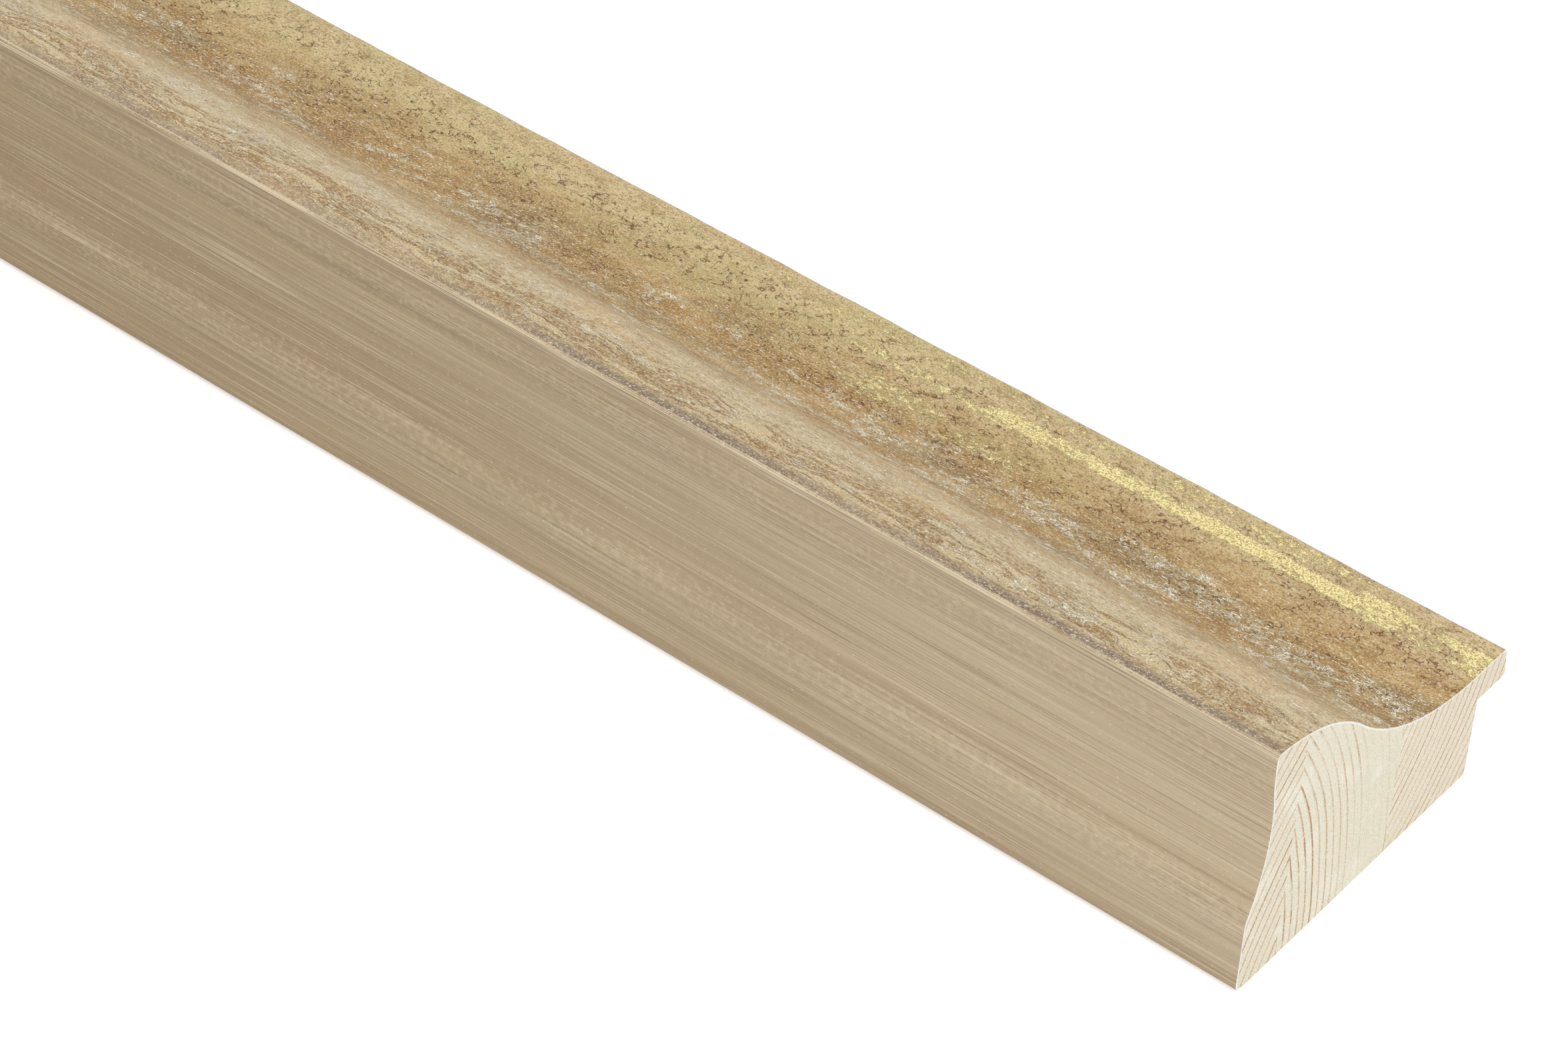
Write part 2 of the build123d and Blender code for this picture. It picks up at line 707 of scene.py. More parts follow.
class Effects:
    """Builds each effect's group the first time that a finish asks for it."""

    def __init__(self) -> None:
        """Starts with no effect built."""
        self.trees: dict[Effect, bpy.types.NodeTree] = {}

    def __getitem__(self, effect: Effect) -> bpy.types.NodeTree:
        """The effect's node group.

        Args:
            effect: Which effect.

        Returns:
            Its node group.
        """
        if effect not in self.trees:
            self.trees[effect] = getattr(self, "build_" + effect.value)()
        return self.trees[effect]

    @staticmethod
    def start(
        name: str, inputs: Sequence[str], outputs: Sequence[str], flat: bool = True
    ) -> tuple[NodeSheet, list[Socket], bpy.types.Node]:
        """Makes a group that takes Places and some values.

        Args:
            name: The group's name.
            inputs: The names of its values, which come after Places.
            outputs: The names of its outputs.
            flat: Whether its patterns lie in the plane of a UV map.

        Returns:
            The group's sheet, its inputs in order and the node that takes its outputs.
        """
        tree = bpy.data.node_groups.new(name, "ShaderNodeTree")
        tree.interface.new_socket("Places", in_out="INPUT", socket_type="NodeSocketVector")
        for key in inputs:
            tree.interface.new_socket(key, in_out="INPUT", socket_type="NodeSocketFloat")
        for key in outputs:
            tree.interface.new_socket(key, in_out="OUTPUT", socket_type="NodeSocketFloat")
        source = tree.nodes.new("NodeGroupInput")
        given = [source.outputs[key] for key in ("Places", *inputs)]
        return NodeSheet(tree, flat), given, tree.nodes.new("NodeGroupOutput")

    def build_streaks(self) -> bpy.types.NodeTree:
        """Fine lines along X, as a brush or the wood's fibres leave them.

        Returns:
            The node group.
        """
        sheet, (places, length, width), target = self.start(
            "streaks", ("Length", "Width"), ("Value",), flat=False
        )
        counted = sheet.vector("DIVIDE", places, sheet.combined(length, width, width))
        noise = sheet.out("TexNoise", {"Vector": counted, "Scale": 1.0, "Detail": 2.0})
        sheet.wire(target, {"Value": noise})
        return sheet.tree

    def build_specks(self) -> bpy.types.NodeTree:
        """Scattered specks, at most one to a cell, of which only a share is there.

        Returns:
            The node group.
        """
        sheet, (places, cell, size, share), target = self.start(
            "specks", ("Cell", "Size", "Share"), ("Mask",)
        )
        counted = sheet.vector("DIVIDE", places, sheet.combined(cell, cell, 1.0))
        sockets = {"Vector": counted, "Scale": 1.0}
        cells = sheet.add("TexVoronoi", sockets, feature="F1", voronoi_dimensions="2D")
        pick = sheet.add("SeparateColor", {0: cells.outputs["Color"]})
        reach = sheet.product(
            sheet.math("DIVIDE", size, cell), sheet.between(pick.outputs[1], 0.3, 0.7)
        )
        near = sheet.math("DIVIDE", cells.outputs["Distance"], reach)
        there = sheet.math("LESS_THAN", pick.outputs[0], share)
        sheet.wire(target, {"Mask": sheet.product(sheet.step(near, 1.0, 0.5), there)})
        return sheet.tree

    def build_web(self) -> bpy.types.NodeTree:
        """A web of thin crooked lines, broken where a noise is low.

        Returns:
            The node group.
        """
        sheet, (places, cell, line, warp, broken), target = self.start(
            "web", ("Cell", "Line", "Warp", "Broken"), ("Mask",)
        )
        sockets = {"Vector": places, "Scale": 0.75, "Detail": 2.0, "Roughness": 0.6}
        bend = sheet.add("TexNoise", sockets, noise_dimensions="2D").outputs["Color"]
        centred = sheet.vector("SUBTRACT", bend, (0.5, 0.5, 0.5))
        moved = sheet.vector("MULTIPLY", centred, sheet.combined(warp, warp, 0.0))
        bent = sheet.vector("ADD", places, moved)
        counted = sheet.vector("DIVIDE", bent, sheet.combined(cell, cell, 1.0))
        distance = sheet.out(
            "TexVoronoi",
            {"Vector": counted, "Scale": 1.0},
            feature="DISTANCE_TO_EDGE",
            voronoi_dimensions="2D",
        )
        near = sheet.math("DIVIDE", distance, sheet.math("DIVIDE", line, cell))
        gaps = sheet.noise(places, (1.8, 1.8), shift=5.0, detail=1.0)
        there = sheet.step(sheet.math("SUBTRACT", gaps, broken), 0.0, 0.06)
        sheet.wire(target, {"Mask": sheet.product(sheet.step(near, 1.0, 0.5), there)})
        return sheet.tree

    def build_arris_light(self) -> bpy.types.NodeTree:
        """The arris: a painted highlight along it and painted shade just under it, in hairlines.

        Returns:
            The node group.
        """
        sheet, (places,), target = self.start("arris_light", (), ("Painted Shade", "Painted Highlight"))
        across = sheet.parts(places)[1]
        hairs = sheet.noise(places, (26, 0.15), detail=3.0)
        below = sheet.band(across, -2.8, -1.4, -0.5, 0.3)
        line = sheet.band(across, -1.2, 0.0, 0.35, 0.65)
        # Painted shade in hairlines just under the arris, and a painted highlight in hairlines along
        # it.
        arris_shade = sheet.product(below, sheet.step(hairs, 0.5, 0.38))
        rub_and_highlight = sheet.product(line, sheet.step(hairs, 0.46, 0.58))
        sheet.wire(target, {"Painted Shade": arris_shade, "Painted Highlight": rub_and_highlight})
        return sheet.tree

    def build_rings(self) -> bpy.types.NodeTree:
        """Growth rings about a pith that runs along X, with each ring's own strength.

        Returns:
            The node group.
        """
        sheet, (places, pith_y, pith_z, spacing), target = self.start(
            "rings", ("Pith Y", "Pith Z", "Spacing"), ("Line", "Strength"), flat=False
        )
        _, y, z = sheet.parts(places)
        across, up = sheet.math("SUBTRACT", y, pith_y), sheet.math("SUBTRACT", z, pith_z)
        squares = sheet.total(sheet.product(across, across), sheet.product(up, up))
        wander = sheet.total(sheet.noise(places, (150, 22, 22), detail=1.0), -0.5)
        radius = sheet.total(sheet.math("SQRT", squares), sheet.product(wander, 1.6))
        count = sheet.math("DIVIDE", radius, spacing)
        part = sheet.math("FRACT", count)
        line = sheet.product(sheet.step(part, 0.66, 0.92), sheet.step(part, 1.0, 0.95))
        ring = {"W": sheet.math("FLOOR", count)}
        pick = sheet.out("TexWhiteNoise", ring, noise_dimensions="1D")
        sheet.wire(target, {"Line": line, "Strength": pick})
        return sheet.tree


class Painter:
    """Lays a finish's layers one over another and wires them to a Principled shader."""

    def __init__(
        self, effects: Effects, name: str, colour: Tint, roughness: float, flat: bool = False
    ) -> None:
        """Starts a material.

        Args:
            effects: The shared effects.
            name: The material's name.
            colour: The ground colour.
            roughness: The ground's roughness.
            flat: Whether its patterns lie in the plane of a UV map.
        """
        self.effects = effects
        self.material = bpy.data.materials.new(name)
        self.material.use_nodes = True
        self.sheet = NodeSheet(self.material.node_tree, flat)
        self.shader = self.material.node_tree.nodes["Principled BSDF"]
        self.shader.inputs["Specular IOR Level"].default_value = 0.3
        self.colour = colour
        self.roughness: Value = roughness
        self.metallic: Value = 0.0
        self.heights: list[Value] = []

    def effect(self, effect: Effect, places: Socket, **values: Value) -> Sequence[Socket]:
        """The outputs of an effect's group, placed with its own values, _ being a space."""
        named = {name.replace("_", " "): value for name, value in values.items()}
        return self.sheet.add(
            "Group", {"Places": places, **named}, node_tree=self.effects[effect]
        ).outputs

    def lay(
        self,
        mask: Value,
        colour: Tint | None = None,
        height: float = 0.0,
        roughness: float | None = None,
        metallic: float | None = None,
    ) -> None:
        """Lays one more layer on top.

        Args:
            mask: Where the layer lies.
            colour: Its colour.
            height: How far it stands up, in millimetres.
            roughness: Its roughness.
            metallic: How metallic it is.
        """
        if colour is not None:
            self.colour = self.sheet.mix(mask, self.colour, colour)
        if roughness is not None:
            self.roughness = self.sheet.between(mask, self.roughness, roughness)
        if metallic is not None:
            self.metallic = self.sheet.between(mask, self.metallic, metallic)
        if height:
            self.heights.append(self.sheet.product(mask, height))

    def wash(
        self, colour: Tint, strength: float, value: Value, low: float, high: float, *masks: Value
    ) -> None:
        """Lays a colour that rises to this strength as the value goes from low to high."""
        self.lay(self.sheet.product(self.sheet.step(value, low, high), *masks, strength), colour)

    def finish(self) -> bpy.types.Material:
        """Wires the colour, roughness, metallic share and summed heights to the shader.

        Returns:
            The material.
        """
        sockets = {
            "Base Color": self.colour,
            "Roughness": self.roughness,
            "Metallic": self.metallic,
        }
        if self.heights:
            bump = {"Height": self.sheet.total(*self.heights), "Distance": MM}
            sockets["Normal"] = self.sheet.out("Bump", bump)
        self.sheet.wire(self.shader, sockets)
        return self.material


# The finishes


@dataclass(frozen=True)
class Strip:
    """One of the glued strips of the blank, with where its growth rings are centred."""

    pith_y: float
    pith_z: float
    spacing: float
    ground: Colour
    line: Colour
    strong_line: Colour


@dataclass(frozen=True)
class BarePine:
    """Sawn and planed pine, glued up from three strips whose rings run different ways."""

    strips: tuple[Strip, Strip, Strip] = (
        Strip(38, -26, 2.05, hex_colour("E7DFCB"), hex_colour("C8A474"), hex_colour("AC7D45")),
        Strip(-87, -2, 1.66, hex_colour("E9E3CF"), hex_colour("CAA677"), hex_colour("9A5F28")),
        Strip(-29, 39, 1.78, hex_colour("E9E0CB"), hex_colour("CCA276"), hex_colour("AC7642")),
    )
    joints: tuple[float, float] = (-22.6, 4.2)
    heart: Colour = hex_colour("E7E1CB")
    pore: Colour = hex_colour("BFA67C")
    pale: Colour = hex_colour("F7F3E6")

    def build(self, effects: Effects) -> bpy.types.Material:
        """Builds the material.

        Args:
            effects: The shared effects.

        Returns:
            The material.
        """
        painter = Painter(effects, "bare_pine", self.strips[1].ground, 0.75)
        sheet = painter.sheet
        places = sheet.object_places()
        _, across, up = sheet.parts(places)
        past_joint = [sheet.math("GREATER_THAN", across, joint) for joint in self.joints]

        def own(name: str, blend: Callable[..., Socket]) -> Socket:
            """A value or colour that each strip has its own of."""
            left, centre, right = (getattr(strip, name) for strip in self.strips)
            return blend(past_joint[1], blend(past_joint[0], left, centre), right)

        rings = painter.effect(
            Effect.RINGS,
            places,
            Pith_Y=own("pith_y", sheet.between),
            Pith_Z=own("pith_z", sheet.between),
            Spacing=own("spacing", sheet.between),
        )
        painter.colour = own("ground", sheet.mix)
        heart = sheet.band(across, -11.0, -4.0, 3.6, 4.2)
        painter.lay(heart, self.heart)
        painter.wash(self.pale, 0.6, sheet.noise(places, (160, 7, 7)), 0.5, 0.75)
        dashes = sheet.step(sheet.noise(places, (14, 0.5, 0.5), detail=1.0), 0.26, 0.42)
        zones = sheet.step(sheet.noise(places, (200, 12, 14), shift=3.0, detail=1.0), 0.1, 0.34)
        top = sheet.product(sheet.step(up, 22, 36), sheet.band(across, -22, -18, 4.2, 4.3), 0.75)
        shown = sheet.product(dashes, zones, sheet.between(sheet.largest(heart, top), 1.0, 0.14))
        pick = rings["Strength"]
        line = sheet.product(rings["Line"], shown, sheet.between(pick, 0.7, 1.0))
        painter.lay(line, own("line", sheet.mix))
        strokes = sheet.product(
            sheet.step(sheet.noise(places, (200, 2.5, 6), shift=7.0, detail=1.0), 0.5, 0.6),
            sheet.band(across, -24, -23, -19, -16),
        )
        strength = sheet.largest(sheet.product(sheet.step(pick, 0.3, 0.9), 0.7), strokes)
        painter.lay(sheet.product(line, strength), own("strong_line", sheet.mix))
        fibres = painter.effect(Effect.STREAKS, places, Length=45.0, Width=0.24)[0]
        painter.wash(self.pore, 0.45, fibres, 0.54, 0.7)
        painter.wash(self.pale, 0.75, fibres, 0.46, 0.34)
        painter.lay(fibres, height=0.22)
        return painter.finish()


@dataclass(frozen=True)
class BareGesso:
    """White gesso where the coat is cut through."""

    ground: Colour = hex_colour("F0EFEA")
    shade: Colour = hex_colour("E2DFD6")

    def build(self, effects: Effects) -> bpy.types.Material:
        """Builds the material.

        Args:
            effects: The shared effects.

        Returns:
            The material.
        """
        painter = Painter(effects, "bare_gesso", self.ground, 0.8)
        sheet = painter.sheet
        grain = sheet.noise(sheet.object_places(), (0.5, 0.5, 0.5))
        painter.wash(self.shade, 1.0, grain, 0.4, 0.7)
        painter.lay(grain, height=0.05)
        return painter.finish()


class CoatFinish:
    """What the two finishes of the coat share: its map, the brush and the painted light at the
    arris.
    """

    # The colours of the painted shade just under the arris and the painted highlight along it.
    arris_shade: Colour = hex_colour("7D6A55")
    rub_and_highlight: Colour = hex_colour("DECDAF")
    white: Colour = hex_colour("FFFAEC")

    def start(self, effects: Effects, name: str, ground: Colour, roughness: float) -> None:
        """Starts the material on the coat's map.

        Args:
            effects: The shared effects.
            name: The material's name.
            ground: Its ground colour.
            roughness: Its roughness.
        """
        self.painter = Painter(effects, name, ground, roughness, flat=True)
        self.sheet = self.painter.sheet
        where = self.sheet.out("UVMap", {}, uv_map=SURFACE_MAP)
        unit_mm = SURFACE_UNIT / MM
        self.places = self.sheet.vector("MULTIPLY", where, (unit_mm, unit_mm, 0))
        along, self.across, _ = self.sheet.parts(self.places)
        self.from_end = self.sheet.math("SUBTRACT", Section.length / 2, along)

    def paint_arris_light(self) -> None:
        """Lays the painted shade under the arris and the painted highlight along it, in hairlines.
        """
        arris_masks = self.painter.effect(Effect.EDGE_WEAR, self.places)
        for name, strength, colour in (("Painted Shade", 0.42, self.arris_shade), ("Painted Highlight", 0.85, self.rub_and_highlight)):
            self.painter.lay(self.sheet.product(arris_masks[name], strength), colour)


class BrushedWash(CoatFinish):
    """The thin taupe wash of the outer side, brushed along the stick."""

    ground: Colour = hex_colour("BFAD90")
    # Painted shade: the side is darker farther from the near end.
    far_shade: Colour = hex_colour("A18B69")
    foot: Colour = hex_colour("A8906C")
    dark: Colour = hex_colour("927D62")
    pale: Colour = hex_colour("D6C6A8")
    warm: Colour = hex_colour("BA976E")

    def build(self, effects: Effects) -> bpy.types.Material:
        """Builds the material.

        Args:
            effects: The shared effects.

        Returns:
            The material.
        """
        self.start(effects, "brushed_wash", self.ground, 0.55)
        sheet, painter, places, across = self.sheet, self.painter, self.places, self.across
        broad, fine, hair = (
            painter.effect(Effect.STREAKS, places, Length=length, Width=width)[0]
            for length, width in ((260.0, 3.0), (110.0, 0.7), (36.0, 0.22))
        )
        # Painted shade that deepens farther from the near end.
        painter.wash(self.far_shade, 0.8, self.from_end, 0, 230)
        painter.wash(self.foot, 0.5, across, -36.0, -43.0)
        painter.wash(self.dark, 0.3, broad, 0.5, 0.72)
        painter.wash(self.pale, 0.12, broad, 0.5, 0.3)
        painter.wash(self.warm, 0.12, sheet.noise(places, (170, 6), shift=5.0), 0.48, 0.7)
        # Painted shade in the hollow of the cove's lower half, deeper farther from the near end.
        cove_shade = sheet.band(across, -31, -26, -20, -13)
        painter.wash(self.dark, 0.42, self.from_end, -40, 200, cove_shade)
        painter.wash(self.dark, 0.28, fine, 0.5, 0.72)
        painter.wash(self.pale, 0.32, fine, 0.48, 0.28)
        painter.wash(self.dark, 0.65, hair, 0.57, 0.66)
        painter.wash(self.pale, 0.6, hair, 0.43, 0.33)
        grain = sheet.noise(places, (1.3, 0.8), shift=2.0)
        bands = sheet.total(
            sheet.band(across, -10.0, -7.0, -3.5, -1.5),
            sheet.band(across, -34.0, -31.0, -28.0, -25.5),
            0.25,
        )
        painter.wash(self.dark, 0.1, grain, 0.52, 0.66, bands)
        painter.wash(self.pale, 0.18, grain, 0.46, 0.34, bands)
        painter.lay(sheet.product(grain, bands), height=0.12)
        painter.lay(hair, height=0.1)
        flecks = sheet.noise(places, (0.8, 0.3), shift=29.0, detail=1.0)
        painter.wash(self.white, 0.3, flecks, 0.73, 0.82)
        # Painted highlight along the arris and painted shade just under it.
        self.paint_arris_light()
        return painter.finish()


@dataclass(frozen=True)
class LeafRun:
    """A stretch of gold leaf, in millimetres from the near end and from the arris."""

    start: float
    end: float
    across: float
    spread: float
    share: float
    past_end: float = 5.0
    within: float = 8.0
    core: float = 0.35

    def cover(self, sheet: NodeSheet, along: Socket, across: Socket) -> Socket:
        """The share of the surface that the leaf covers, which fades out round the stretch.

        Args:
            sheet: Where its nodes go.
            along: The distance from the near end.
            across: The distance from the arris.

        Returns:
            The share.
        """
        core = self.spread * self.core
        return sheet.product(
            sheet.band(
                along,
                self.start - self.past_end,
                self.start + self.within,
                self.end - self.within,
                self.end + self.past_end,
            ),
            sheet.band(
                across,
                self.across - self.spread,
                self.across - core,
                self.across + core,
                self.across + self.spread,
            ),
            self.share,
        )


class AntiquedFace(CoatFinish):
    """The antiqued face: a stained ochre ground with white strands, cracks and worn gold."""

    # Colour stops across the face, in mm from the arris. They are partly the ground's own colour and
    # partly painted light: the crest at 13 mm is painted lighter and the steep slope from 19 to 26
    # mm darker.
    across_face: tuple[tuple[float, str], ...] = (
        (0.0, "B09D82"),
        (3.2, "BDA67F"),
        (8.0, "C1AA80"),
        (13.0, "D0BE9B"),
        (19.0, "BEA67B"),
        (26.0, "B3986A"),
        (36.0, "AE8B4C"),
        (46.0, "AC8748"),
        (54.0, "BB9963"),
        (60.0, "D8C094"),
        (66.0, "D5BD90"),
    )
    face_width: float = 70.0
    stain: Colour = hex_colour("9C6E34")
    rosy: Colour = hex_colour("D0AE7C")
    shadow: Colour = hex_colour("917C54")
    streak_dark: Colour = hex_colour("93713F")
    streak_pale: Colour = hex_colour("DCC99C")
    crack: Colour = hex_colour("6C3A04")
    pit: Colour = hex_colour("4E2502")
    violet: Colour = hex_colour("786960")
    veil: Colour = hex_colour("D3C5A0")
    strand: Colour = hex_colour("FFF3D8")
    # The pale gold is partly the leaf's own colour and partly a painted highlight, standing in for
    # the shine of the metal.
    gold: Colour = hex_colour("F9EAAA")
    gold_deep: Colour = hex_colour("D6BE78")
    gold_tint: Colour = hex_colour("BDA55E")
    tarnish: Colour = hex_colour("C9BE82")
    leaf_repeats: float = 310.0
    leaf_runs: tuple[LeafRun, ...] = (
        LeafRun(-6, 26, 61.4, 4.9, 0.69),
        LeafRun(17, 90, 60.6, 2.6, 0.88),
        LeafRun(10, 64, 64.4, 2.8, 0.54),
        LeafRun(62, 118, 59.6, 2.6, 0.56),
        LeafRun(58, 155, 64.4, 2.6, 0.48),
        LeafRun(70, 112, 52.0, 6.0, 0.52),
        LeafRun(12, 104, 61.6, 7.5, 0.4),
        LeafRun(96, 168, 56.0, 8.0, 0.38),
        LeafRun(170, 262, 63.6, 3.6, 0.36),
        LeafRun(218, 268, 57.0, 4.0, 0.36),
    )

    def build(self, effects: Effects) -> bpy.types.Material:
        """Builds the material.

        Args:
            effects: The shared effects.

        Returns:
            The material.
        """
        self.start(effects, "antiqued_face", self.violet, 0.52)
        sheet, places = self.sheet, self.places
        self.blotches = sheet.noise(places, (24, 9), detail=4.0, roughness=0.6)
        self.grain = sheet.noise(places, (0.9, 0.65), shift=2.0, detail=3.0, roughness=0.8)
        self.grit = sheet.noise(places, (0.36, 0.28), shift=4.0, detail=1.0)
        self.dashes = sheet.noise(places, (1.4, 0.36), shift=19.0, detail=1.0)
        self.mottle = sheet.noise(places, (5.5, 2.4), shift=23.0, detail=2.0)
        self.lay_ground()
        self.lay_arris()
        self.lay_strands()
        self.lay_cracks()
        self.lay_gold()
        # Painted highlight along the arris and painted shade just under it.
        self.paint_arris_light()
        return self.painter.finish()

    def web(self, places: Socket, cell: float, line: float, warp: float, broken: float) -> Socket:
        """A web of crooked lines, with its cells' and lines' sizes in millimetres."""
        values = {"Cell": cell, "Line": line, "Warp": warp, "Broken": broken}
        return self.painter.effect(Effect.WEB, places, **values)[0]

    def lay_ground(self) -> None:
        """Lays the ground, with painted light in its colour across the face, and its stains."""
        sheet, painter, across = self.sheet, self.painter, self.across
        wander = sheet.product(sheet.total(self.blotches, -0.5), 9.0)
        at = sheet.math("DIVIDE", sheet.total(across, wander), self.face_width)
        # The ramp paints the crest lighter and the slope below it darker, partly as painted light.
        ramp = sheet.add("ValToRGB", {0: at})
        elements = ramp.color_ramp.elements
        while len(elements) < len(self.across_face):
            elements.new(0.5)
        for element, (place, colour) in zip(elements, self.across_face):
            element.position = place / self.face_width
            element.color = (*hex_colour(colour), 1)
        painter.colour = ramp.outputs[0]
        stained = sheet.band(across, 22, 36, 54, 64)
        painter.wash(self.stain, 0.62, self.blotches, 0.5, 0.68, stained)
        painter.wash(self.rosy, 0.5, self.blotches, 0.46, 0.32)
        shade = sheet.noise(self.places, (28, 8), shift=11.0, detail=3.0)
        painter.wash(self.shadow, 0.72, shade, 0.48, 0.64, sheet.band(across, 16, 28, 46, 58))
        painter.wash(self.streak_dark, 0.4, self.mottle, 0.5, 0.7)
        painter.wash(self.streak_pale, 0.3, self.mottle, 0.5, 0.3)
        painter.wash(self.streak_dark, 0.62, self.grain, 0.5, 0.68)
        painter.wash(self.streak_pale, 0.5, self.grain, 0.48, 0.3)
        tarnish = sheet.product(
            sheet.between(sheet.step(shade, 0.54, 0.4), 0.12, 0.42),
            sheet.step(self.from_end, 10, 80),
            sheet.step(across, 44, 58),
        )
        painter.lay(tarnish, self.tarnish)
        painter.lay(self.grain, height=0.2)
        painter.wash(self.crack, 0.5, self.dashes, 0.32, 0.26)
        painter.wash(self.crack, 0.72, self.grit, 0.38, 0.24, sheet.band(across, 20, 34, 70, 72))
        painter.wash(self.streak_pale, 0.8, self.grit, 0.62, 0.78)
        painter.lay(self.grit, height=0.12)

    def lay_arris(self) -> None:
        """Lays the rubbed streaks, their crisp edges and the grey grains beside the arris."""
        sheet, painter, places, across = self.sheet, self.painter, self.places, self.across
        wavy = sheet.vector("ADD", places, sheet.combined(0.0, sheet.product(self.blotches, 9.0)))
        streaks = sheet.noise(wavy, (22, 0.9), detail=3.0, roughness=0.6)
        near = sheet.band(across, 1.6, 3.4, 7.5, 14)
        crumbly = sheet.step(self.grain, 0.36, 0.56)
        dark = sheet.product(sheet.step(streaks, 0.5, 0.64), near, crumbly, 0.5)
        painter.lay(dark, self.streak_dark, height=-0.08)
        painter.wash(self.streak_pale, 0.65, streaks, 0.48, 0.34, near)
        for level, colour, height in ((0.53, self.stain, -0.16), (0.45, self.strand, 0.1)):
            off_level = sheet.math("ABSOLUTE", sheet.total(streaks, -level))
            edge = sheet.product(sheet.step(off_level, 0.034, 0.012), near, crumbly, 0.68)
            painter.lay(edge, colour, height=height)
        worn = sheet.step(sheet.noise(places, (80, 30), shift=9.0, detail=1.0), 0.36, 0.55)
        rim = sheet.product(
            sheet.band(across, 0.3, 0.6, 1.4, 2.7),
            sheet.between(worn, 0.3, 1.0),
            sheet.between(sheet.step(self.from_end, 100, 160), 1.0, 0.5),
        )
        painter.wash(self.violet, 0.75, self.grain, 0.3, 0.5, rim)
        sandy = sheet.total(rim, sheet.product(near, 0.7))
        painter.wash(self.white, 0.7, self.grit, 0.66, 0.76, sandy)
        painter.wash(self.crack, 0.6, self.grit, 0.4, 0.3, sandy)

    def lay_strands(self) -> None:
        """Lays the white strands in their clusters, and the white flecks all over."""
        sheet, painter, places, across = self.sheet, self.painter, self.places, self.across
        clusters = sheet.noise(places, (12, 6.5), shift=31.0, detail=4.0, roughness=0.65)
        share = sheet.largest(
            sheet.product(
                sheet.band(across, 16, 28, 44, 58),
                sheet.between(sheet.step(self.from_end, 70, 130), 0.58, 0.46),
            ),
            sheet.product(sheet.band(across, 2, 6, 17, 26), 0.36),
            sheet.product(
                sheet.band(across, 2.5, 4.5, 8, 11), sheet.band(self.from_end, 26, 38, 46, 60), 0.6
            ),
        )
        there = sheet.patches(clusters, share, 0.09)
        # Scuffs in the veil, which are wear.
        rub_and_highlight = sheet.step(sheet.noise(places, (1.7, 0.8), shift=13.0, detail=3.0), 0.42, 0.62)
        painter.lay(sheet.product(there, rub_and_highlight, 0.34), self.veil, roughness=0.62)
        faint = sheet.between(sheet.step(self.mottle, 0.58, 0.46), 0.35, 1.0)
        for cell, line, broken in ((1.25, 0.19, 0.47), (0.75, 0.14, 0.51)):
            web = self.web(places, cell, line, 1.2, broken)
            painter.lay(sheet.product(there, web, faint), self.strand, height=0.24)
        reach = sheet.band(across, 8, 16, 44, 60)
        painter.wash(self.white, 1.0, self.dashes, 0.7, 0.77, sheet.between(reach, 0.3, 1.0))
        painter.wash(self.white, 0.85, self.grit, 0.7, 0.76, sheet.total(reach, there))

    def lay_cracks(self) -> None:
        """Lays the short dark cracks and the pits."""
        sheet, painter = self.sheet, self.painter
        aged = sheet.product(
            sheet.band(self.across, 32, 46, 58, 70), sheet.step(self.blotches, 0.36, 0.52)
        )
        for cell, line, broken in ((2.3, 0.12, 0.57), (1.3, 0.1, 0.56)):
            drawn_out = sheet.scaled(self.places, (1.25, 1, 1), 40.0 + cell)
            web = self.web(drawn_out, cell, line, 1.8, broken)
            painter.lay(sheet.product(web, aged, 0.8), self.crack, height=-0.2)
        drawn_out = sheet.scaled(self.places, (1.4, 1, 1), 2.6)
        pits = painter.effect(Effect.SPECKS, drawn_out, Cell=2.6, Size=0.5, Share=0.3)[0]
        painter.lay(sheet.product(pits, aged, 0.85), self.pit)

    def lay_gold(self) -> None:
        """Lays the worn gold leaf by the sight edge, whose pale gold is partly a painted highlight.
        """
        sheet, painter = self.sheet, self.painter
        along = sheet.math("MODULO", self.from_end, self.leaf_repeats)
        covers = [run.cover(sheet, along, self.across) for run in self.leaf_runs]
        clumps = sheet.step(sheet.noise(self.places, (13, 4), shift=47.0, detail=1.0), 0.4, 0.54)
        share = sheet.product(sheet.largest(*covers), sheet.between(clumps, 0.72, 1.0))
        ragged = sheet.noise(self.places, (1.7, 0.95), shift=43.0, detail=5.0, roughness=0.9)
        painter.lay(sheet.product(sheet.patches(ragged, share, 0.25), 0.4), self.gold_tint)
        leaf = sheet.product(sheet.patches(ragged, share, 0.03), sheet.step(self.grit, 0.7, 0.6))
        # The tone runs at random between deep gold and pale gold, the pale gold being partly a
        # painted highlight.
        tone = sheet.step(sheet.total(self.grain, self.grit), 1.2, 0.85)
        gold = sheet.mix(tone, self.gold_deep, self.gold)
        painter.lay(leaf, gold, height=0.12, roughness=0.42, metallic=0.15)


# The studio


@dataclass(frozen=True)
class Lamp:
    """A soft box that shines on the stick."""

    name: str
    place: tuple[float, float, float]
    aim: tuple[float, float, float]
    size: float
    power: float

    def build(self) -> None:
        """Adds the lamp."""
        bpy.ops.object.light_add(type="AREA", location=self.place)
        lamp = bpy.context.object
        lamp.name = lamp.data.name = self.name
        lamp.data.shape = "SQUARE"
        lamp.data.size = self.size
        lamp.data.energy = self.power
        way = Vector(self.aim) - Vector(self.place)
        lamp.rotation_euler = way.to_track_quat("-Z", "Y").to_euler()


